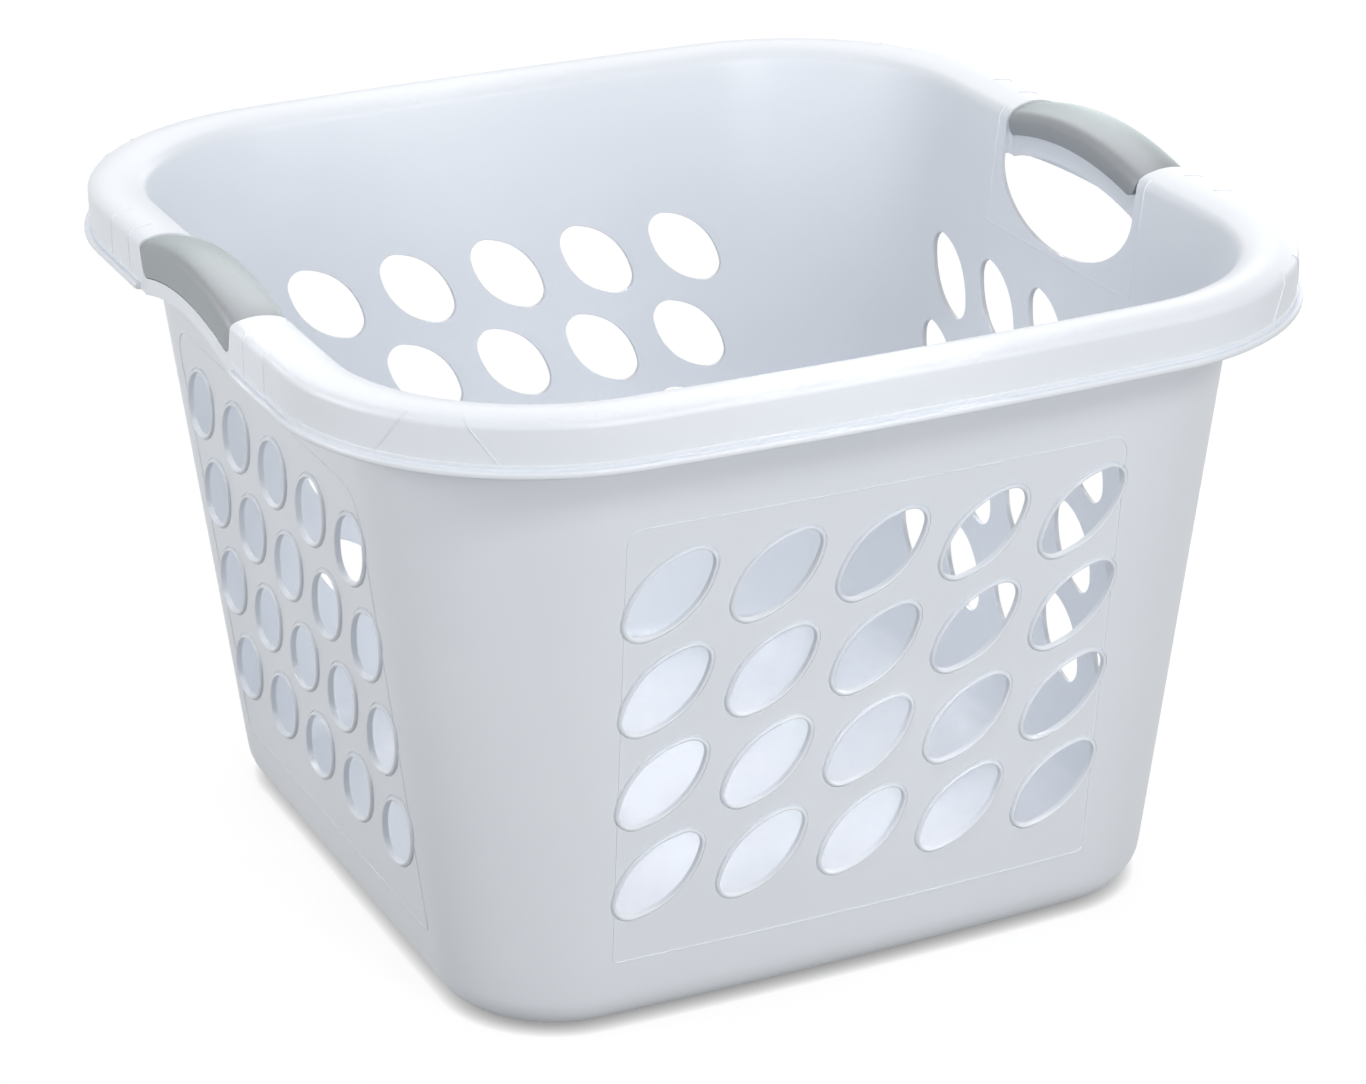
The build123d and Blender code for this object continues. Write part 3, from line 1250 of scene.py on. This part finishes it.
@dataclass(frozen=True)
class Basket:
    """The white moulding: floor, four walls, round corners, rim and both handles."""

    section: Section
    vents: VentField
    handle: Handle
    lines: MouldLines
    corner_steps: int = 24
    side_field_edge: float = 119.5
    lip_inset: float = 4.2          # mesh column inside the opening of the rim
    # Mesh columns past the end of the lip: distance, and share of the lip's stand-out
    lip_ramp: tuple[tuple[float, float], ...] = ((0.0, 0.0), (0.5, 0.72), (1.6, 1.0))

    def bow_radius(self) -> float:
        """Return the radius of the bowed front and back, at the line of the corner axes."""
        bow = self.section.bow
        return (self.section.corner_x ** 2 + bow ** 2) / (2 * bow)

    def bow_angle(self) -> float:
        """Return half the angle of the bowed front and back."""
        return math.asin(self.section.corner_x / self.bow_radius())

    def bowed(self, piece: bpy.types.Object, length: float) -> bpy.types.Object:
        """Give a straight piece of the front its bow and its place.

        Args:
            piece: Piece that faces -Y from the plane of the corner axes.
            length: Its extent along the wall.

        Returns:
            The same piece.
        """
        apply_modifier(
            piece, "SIMPLE_DEFORM", deform_method="BEND", deform_axis="Z",
            angle=length / self.bow_radius(),
        )
        piece.location.y = -self.section.corner_y - self.section.bow
        settle(piece)
        return piece

    def turned_right(self, piece: bpy.types.Object) -> bpy.types.Object:
        """Turn a straight piece that faces -Y to the right side.

        Args:
            piece: Piece that faces -Y from the plane of the corner axes.

        Returns:
            The same piece.
        """
        turn = Matrix.Rotation(math.pi / 2, 4, "Z")
        piece.matrix_world = Matrix.Translation((self.section.corner_x, 0, 0)) @ turn
        settle(piece)
        return piece

    def front(self) -> bpy.types.Object:
        """Model the front wall with its bow.

        Returns:
            The front, in its place.
        """
        half = self.bow_radius() * self.bow_angle()
        piece = Wall(self.section, self.vents, half, half).build("front")
        return self.bowed(piece, 2 * half)

    def right(self) -> bpy.types.Object:
        """Model the flat right wall.

        Returns:
            The right side, in its place.
        """
        half = self.section.corner_y
        piece = Wall(self.section, self.vents, half, self.side_field_edge).build("right")
        self.end_lip(piece)
        return self.turned_right(piece)

    def end_lip(self, piece: bpy.types.Object) -> None:
        """Let the lip of the straight wall end on both sides of the handle.

        Args:
            piece: Straight side wall that faces -Y.
        """
        section = self.section
        pitch = self.vents.column_pitch / self.vents.tile_steps
        gap, end = self.handle.gap(), self.handle.lip_end
        columns = [(gap - self.lip_inset, 0.0)]
        columns += [(end + away, share) for away, share in self.lip_ramp]
        # The mesh columns from the opening of the rim outwards are moved to these places
        first = round(gap / pitch)
        above = section.skirt_foot - self.handle.hole_depth
        open_mesh(piece)
        for side in (-1, 1):
            for i, (place, share) in enumerate(columns):
                x = side * (first + i) * pitch
                select_points(lambda v: abs(v.co.x - x) < EPS and v.co.z > above)
                bpy.ops.transform.translate(value=(side * place - x, 0.0, 0.0))
                select_points(
                    lambda v: abs(v.co.x - side * place) < EPS
                    and v.co.y < -section.skirt_reach - EPS
                )
                bpy.ops.transform.resize(
                    value=(1.0, share, 1.0), center_override=(0, -section.skirt_reach, 0)
                )
        select_points(
            lambda v: abs(v.co.x) < gap - EPS and v.co.y < -section.skirt_reach - EPS
        )
        bpy.ops.transform.resize(
            value=(1.0, 0.0, 1.0), center_override=(0, -section.skirt_reach, 0)
        )
        deselect()

    def corner(self) -> bpy.types.Object:
        """Model the front right corner.

        Returns:
            The corner, in its place.
        """
        section, vents = self.section, self.vents
        axis_place = Vector((section.corner_x, -section.corner_y, 0.0))
        piece = new_piece("corner")
        board = Board(axis_place, RIGHT, UP)
        pen = Pen(board, (0.0, section.sheet))
        vents.below(pen, 0.0)
        pen.line(section.wall(vents.high_edge(), 0.0), vents.wall_rows())
        vents.above(pen)
        pen.line(section.wall(vents.low_edge(), section.sheet), vents.wall_rows())
        vents.below(Pen(board, (0.0, 0.0)), section.sheet)
        weld()
        bpy.ops.mesh.select_all(action="SELECT")
        turn = self.bow_angle() - math.pi / 2
        spin(axis_place, UP, turn, self.corner_steps)
        low, high = vents.heights()
        select_points(
            lambda v: abs(v.co.y + section.corner_y) < EPS and low - EPS < v.co.z < high + EPS
        )
        shift = self.side_field_edge - section.corner_y
        bpy.ops.transform.translate(value=(0.0, -shift, 0.0))
        weld()
        deselect()
        return piece

    def shell(self) -> bpy.types.Object:
        """Model the closed basket before its handles.

        Returns:
            The closed shell.
        """
        near = [self.front(), self.right(), self.corner()]
        corner = copy_of(near[-1], "corner_back", FRONT_TO_BACK)
        shell = joined((*near, *half_turned(*near), corner, *half_turned(corner)))
        shell.name = "basket_moulding"
        open_mesh(shell)
        weld()
        for height in (0.0, self.section.sheet):
            select_edges(
                lambda e: open_edge(e) and all(abs(v.co.z - height) < EPS for v in e.verts)
            )
            bpy.ops.mesh.edge_face_add()
        face_outwards()
        deselect()
        return shell

    def mould_lines(self) -> list[bpy.types.Object]:
        """Model the fine lines of the mould on all sides.

        Returns:
            The lines, each a closed ridge.
        """
        lines, section = self.lines, self.section
        front = lines.frame(lines.front_frame)
        pieces = [self.bowed(front, 2 * lines.front_frame[0] + lines.width)]
        side_frame = lines.frame(lines.side_frame)
        pieces += [self.turned_right(p) for p in (side_frame, lines.under_hand_hole())]
        for side in (-1, 1):
            for place in lines.beside_handle:
                board = self.handle.side_board(side * place, 0.0)
                pieces.append(lines.across_rim(board))
            board = self.handle.side_board(side * lines.inner_line, 0.0)
            pieces.append(lines.inside_rim(board))
        slant = lines.down_skirt()
        pair = joined((slant, copy_of(slant, "corner_line_left", FRONT_TO_BACK)))
        for sign in (-1, 1):
            place = Matrix.Translation((section.corner_x, sign * section.corner_y, 0.0))
            turn = Matrix.Rotation(sign * math.pi / 4, 4, "Z")
            pieces.append(copy_of(pair, "corner_lines", place @ turn))
        bpy.data.objects.remove(pair)
        return pieces + half_turned(*pieces)

    def build(self) -> bpy.types.Object:
        """Model the whole moulding.

        Returns:
            The basket, in mm.
        """
        basket = self.shell()
        combine(basket, self.handle.webs(), Cut.ADD)
        combine(basket, self.handle.rim_opening(), Cut.TAKE)
        combine(basket, self.handle.hand_holes(), Cut.TAKE)
        combine(basket, self.handle.bridges(), Cut.ADD)
        combine(basket, self.handle.corner_fills(), Cut.ADD)
        combine(basket, self.handle.ribs(), Cut.ADD)
        return joined((basket, *self.mould_lines()))


def finished(piece: bpy.types.Object) -> None:
    """Bring a piece to metres and shade its rounded faces smooth.

    Args:
        piece: Piece in mm.
    """
    piece.scale = (METRES_PER_MM,) * 3
    settle(piece)
    bpy.ops.object.shade_smooth_by_angle(angle=ROUND_ANGLE)


# Finishes


def linear(hex_colour: str) -> tuple[float, float, float, float]:
    """Turn an sRGB colour to linear.

    Args:
        hex_colour: Colour such as #a0b0c0.

    Returns:
        Red, green, blue and an alpha of 1.
    """
    parts = [int(hex_colour[i:i + 2], 16) / 255 for i in (1, 3, 5)]
    red, green, blue = (
        c / 12.92 if c <= 0.04045 else ((c + 0.055) / 1.055) ** 2.4 for c in parts
    )
    return red, green, blue, 1.0


def add_node(tree: bpy.types.NodeTree, kind: str, inputs: dict[str | int, object] | None = None,
             **settings: object) -> bpy.types.Node:
    """Add a node to a tree.

    Args:
        tree: Tree that gets the node.
        kind: Type name of the node.
        inputs: Values of its sockets. A socket of another node is linked.
        **settings: Properties of the node.

    Returns:
        The new node.
    """
    node = tree.nodes.new(kind)
    for name, value in settings.items():
        setattr(node, name, value)
    for name, value in (inputs or {}).items():
        if isinstance(value, bpy.types.NodeSocket):
            tree.links.new(value, node.inputs[name])
        else:
            node.inputs[name].default_value = value
    return node


def new_material(name: str) -> bpy.types.Material:
    """Start a material with an empty node tree.

    Args:
        name: Name of the material.

    Returns:
        The new material.
    """
    material = bpy.data.materials.new(name)
    material.use_nodes = True
    material.node_tree.nodes.clear()
    return material


@dataclass(frozen=True)
class MouldedPlastic:
    """Injection-moulded plastic with the satin grain of an eroded mould."""

    name: str
    colour: str
    cloud: str                  # tone of the faint clouds that the flow leaves
    roughness: tuple[float, float]
    metallic: float = 0.0
    ior: float = 1.49
    gloss_tint: str = "#ffffff"
    cloud_mm: float = 70.0
    grain_mm: float = 0.7       # coarser than the real grain, which is too fine to show
    grain_depth_mm: float = 0.02

    def material(self) -> bpy.types.Material:
        """Make the material, with clouds and grain.

        Returns:
            The new material.
        """
        material = new_material(self.name)
        tree = material.node_tree
        place = add_node(tree, "ShaderNodeTexCoord").outputs["Object"]
        per_mm = 1 / METRES_PER_MM
        clouds = add_node(tree, "ShaderNodeTexNoise", {
            "Vector": place, "Scale": per_mm / self.cloud_mm, "Detail": 3.0, "Roughness": 0.55,
        })
        colour = add_node(tree, "ShaderNodeMix", {
            0: clouds.outputs["Fac"], 6: linear(self.colour), 7: linear(self.cloud),
        }, data_type="RGBA")
        grain = add_node(tree, "ShaderNodeTexNoise", {
            "Vector": place, "Scale": per_mm / self.grain_mm, "Detail": 2.0, "Roughness": 0.5,
        })
        rough = add_node(tree, "ShaderNodeMapRange", {
            "Value": grain.outputs["Fac"], "From Min": 0.3, "From Max": 0.7,
            "To Min": self.roughness[0], "To Max": self.roughness[1],
        })
        bump = add_node(tree, "ShaderNodeBump", {
            "Height": grain.outputs["Fac"], "Strength": 0.5,
            "Distance": self.grain_depth_mm * METRES_PER_MM,
        })
        shader = add_node(tree, "ShaderNodeBsdfPrincipled", {
            "Base Color": colour.outputs[2], "Roughness": rough.outputs["Result"],
            "Normal": bump.outputs["Normal"], "Metallic": self.metallic, "IOR": self.ior,
            "Specular Tint": linear(self.gloss_tint),
        })
        add_node(tree, "ShaderNodeOutputMaterial", {"Surface": shader.outputs["BSDF"]})
        return material


# White polypropylene: cool white, satin, with crisp soft lights along its rounded edges
BASKET_FINISH = MouldedPlastic("white_polypropylene_moulded", "#ebeff5", "#e6ebf2", (0.34, 0.42))
# Silver-grey plastic with metal flakes: pale crown that takes the light from behind, darker sides
GRIP_FINISH = MouldedPlastic(
    "silver_grey_plastic_flake", "#96979c", "#919297", (0.42, 0.50), metallic=0.5, ior=1.9,
    gloss_tint="#ecfff8", cloud_mm=30.0, grain_mm=0.5, grain_depth_mm=0.01,
)


# Studio


@dataclass(frozen=True)
class Lamp:
    """Soft square lamp that points at the basket, in metres, watts and degrees."""

    name: str
    place: tuple[float, float, float]
    size: float
    power: float
    spread: float = 180.0

    def build(self, aim: Vector) -> None:
        """Hang the lamp.

        Args:
            aim: Point that it lights.
        """
        deselect()
        bpy.ops.object.light_add(type="AREA", location=self.place)
        lamp = bpy.context.object
        lamp.name = self.name
        lamp.rotation_euler = (aim - Vector(self.place)).to_track_quat("-Z", "Y").to_euler()
        lamp.data.size = self.size
        lamp.data.energy = self.power
        lamp.data.spread = math.radians(self.spread)
        lamp.visible_camera = False


@dataclass(frozen=True)
class Studio:
    """White floor and surroundings, with lamps all round and a narrow one for the inside."""

    floor_size: float = 24.0
    surroundings: float = 0.32      # light of the room on the basket
    floor_white: float = 1.0        # floor as the camera sees it
    floor_glow: float = 1.05
    floor_bounce: float = 0.26      # floor as the basket gets light back from it
    shadow_share: float = 0.16      # how much of the floor's own shading the camera sees
    painted_shadow_reach: float = 0.0075   # m, width of the shadow line painted on the floor where the basket stands
    painted_shadow_depth: float = 0.72     # how dark that painted shadow line is
    aim: tuple[float, float, float] = (0.0, 0.0, 0.2)
    lamps: tuple[Lamp, ...] = (
        Lamp("overhead_lamp", (0.3, 0.1, 2.4), 1.6, 9.0),
        Lamp("high_front_lamp", (0.3, -2.1, 1.8), 0.5, 12.2),
        Lamp("low_front_lamp", (0.1, -2.8, 0.8), 1.0, 27.0),
        Lamp("front_left_lamp", (-2.0, -2.0, 1.2), 1.6, 6.0),
        Lamp("left_lamp", (-0.95, 0.1, 0.5), 0.4, 2.6),
        Lamp("back_lamp", (0.7, 1.8, 1.7), 1.6, 15.5),
        Lamp("back_right_lamp", (2.1, 1.7, 0.5), 1.6, 17.0),
        # A narrow beam through the mouth, so that the vents show a bright floor inside
        Lamp("inside_lamp", (-0.65, -0.75, 2.4), 0.34, 0.115, spread=4.0),
    )

    def seen(self, tree: bpy.types.NodeTree) -> bpy.types.NodeSocket:
        """Tell what the camera sees, also in gloss and through glass, from what only gives light.

        Args:
            tree: Tree that gets the nodes.

        Returns:
            A factor that is 1 for what is seen and else 0.
        """
        path = add_node(tree, "ShaderNodeLightPath").outputs
        either = add_node(tree, "ShaderNodeMath", {
            0: path["Is Camera Ray"], 1: path["Is Glossy Ray"],
        }, operation="MAXIMUM")
        return add_node(tree, "ShaderNodeMath", {
            0: either.outputs[0], 1: path["Is Transmission Ray"],
        }, operation="MAXIMUM").outputs[0]

    def world(self) -> None:
        """Light the room evenly, with white behind the basket."""
        world = bpy.data.worlds.new("white_room")
        bpy.context.scene.world = world
        world.use_nodes = True
        tree = world.node_tree
        tree.nodes.clear()
        strength = add_node(tree, "ShaderNodeMapRange", {
            "Value": self.seen(tree), "To Min": self.surroundings, "To Max": 1.0,
        })
        room = add_node(tree, "ShaderNodeBackground", {
            "Color": linear("#ffffff"), "Strength": strength.outputs["Result"],
        })
        add_node(tree, "ShaderNodeOutputWorld", {"Surface": room.outputs["Background"]})

    def floor(self) -> None:
        """Lay the white floor: the camera sees a faint share of its real shadow and a painted
        contact shadow.
        """
        deselect()
        bpy.ops.mesh.primitive_plane_add(size=self.floor_size, location=(0.0, 0.0, 0.0))
        floor = bpy.context.object
        floor.name = "studio_floor"
        material = new_material("white_studio_floor")
        tree = material.node_tree
        seen = self.seen(tree)
        paint = add_node(tree, "ShaderNodeMapRange", {
            "Value": seen, "To Min": self.floor_bounce, "To Max": self.floor_white,
        })
        matt = add_node(tree, "ShaderNodeBsdfDiffuse", {"Color": paint.outputs["Result"]})
        # Painted shadow: ambient occlusion darkens the floor's glow in a thin line round the
        # basket's foot
        painted_shadow_ao = add_node(tree, "ShaderNodeAmbientOcclusion", {
            "Distance": self.painted_shadow_reach,
        }, samples=8)
        shade = add_node(tree, "ShaderNodeMapRange", {
            "Value": painted_shadow_ao.outputs["AO"], "To Max": self.floor_glow,
            "To Min": self.floor_glow * (1 - self.painted_shadow_depth),
        })
        glow = add_node(tree, "ShaderNodeEmission", {"Strength": shade.outputs["Result"]})
        share = add_node(tree, "ShaderNodeMath", {
            0: seen, 1: 1 - self.shadow_share,
        }, operation="MULTIPLY")
        mixed = add_node(tree, "ShaderNodeMixShader", {
            0: share.outputs[0], 1: matt.outputs[0], 2: glow.outputs[0],
        })
        add_node(tree, "ShaderNodeOutputMaterial", {"Surface": mixed.outputs[0]})
        floor.data.materials.append(material)

    def build(self) -> None:
        """Set up room, floor and lamps."""
        self.world()
        self.floor()
        for lamp in self.lamps:
            lamp.build(Vector(self.aim))
        bpy.context.scene.view_settings.view_transform = "Standard"


@dataclass(frozen=True)
class Viewpoint:
    """Camera of the photograph, as fitted to it."""

    place: tuple[float, float, float] = (-0.7279, -1.5382, 0.8726)
    yaw: float = math.radians(25.39)
    pitch: float = math.radians(23.153)
    roll: float = math.radians(-0.55)
    sensor_mm: float = 36.0
    lens_mm: float = 102.3
    sight: float = 100.0            # m, how far the camera sees

    def build(self) -> None:
        """Create the camera and look through it."""
        deselect()
        bpy.ops.object.camera_add()
        camera = bpy.context.object
        camera.name = "photo_camera"
        forward = Vector((
            math.sin(self.yaw) * math.cos(self.pitch),
            math.cos(self.yaw) * math.cos(self.pitch),
            -math.sin(self.pitch),
        ))
        right = forward.cross(UP).normalized()
        up = right.cross(forward)
        across = right * math.cos(self.roll) + up * math.sin(self.roll)
        above = up * math.cos(self.roll) - right * math.sin(self.roll)
        turn = Matrix((across, above, -forward)).transposed().to_4x4()
        camera.matrix_world = Matrix.Translation(self.place) @ turn
        camera.data.sensor_fit = "HORIZONTAL"
        camera.data.sensor_width = self.sensor_mm
        camera.data.lens = self.lens_mm
        camera.data.clip_end = self.sight
        bpy.context.scene.camera = camera


# Assembly


def add_piece(piece: bpy.types.Object, node: str, material: bpy.types.Material) -> None:
    """Hand a finished piece to the frame.

    Args:
        piece: Mesh in metres, in the frame of the CAD model.
        node: CAD node that it stands for.
        material: Its finish.
    """
    finished(piece)
    piece.data.materials.clear()
    piece.data.materials.append(material)
    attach(piece, "root")
    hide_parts(node)
    LOG.info("%s stands for %s: %d faces", piece.name, node, len(piece.data.polygons))


def main() -> None:
    """Build the basket, its grips and the studio."""
    logging.basicConfig(level=logging.INFO, format="%(name)s: %(message)s")
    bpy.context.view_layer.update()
    section = Section()
    handle = Handle(section)
    white = BASKET_FINISH.material()
    grey = GRIP_FINISH.material()
    basket = Basket(section, VentField(section), handle, MouldLines(section)).build()
    add_piece(basket, "basket", white)
    grip = handle.grip()
    other = copy_of(grip, "grip_left_saddle", RIGHT_TO_LEFT)
    add_piece(grip, "grip_right", grey)
    add_piece(other, "grip_left", grey)
    Studio().build()
    Viewpoint().build()


if __name__ == "__main__":
    main()
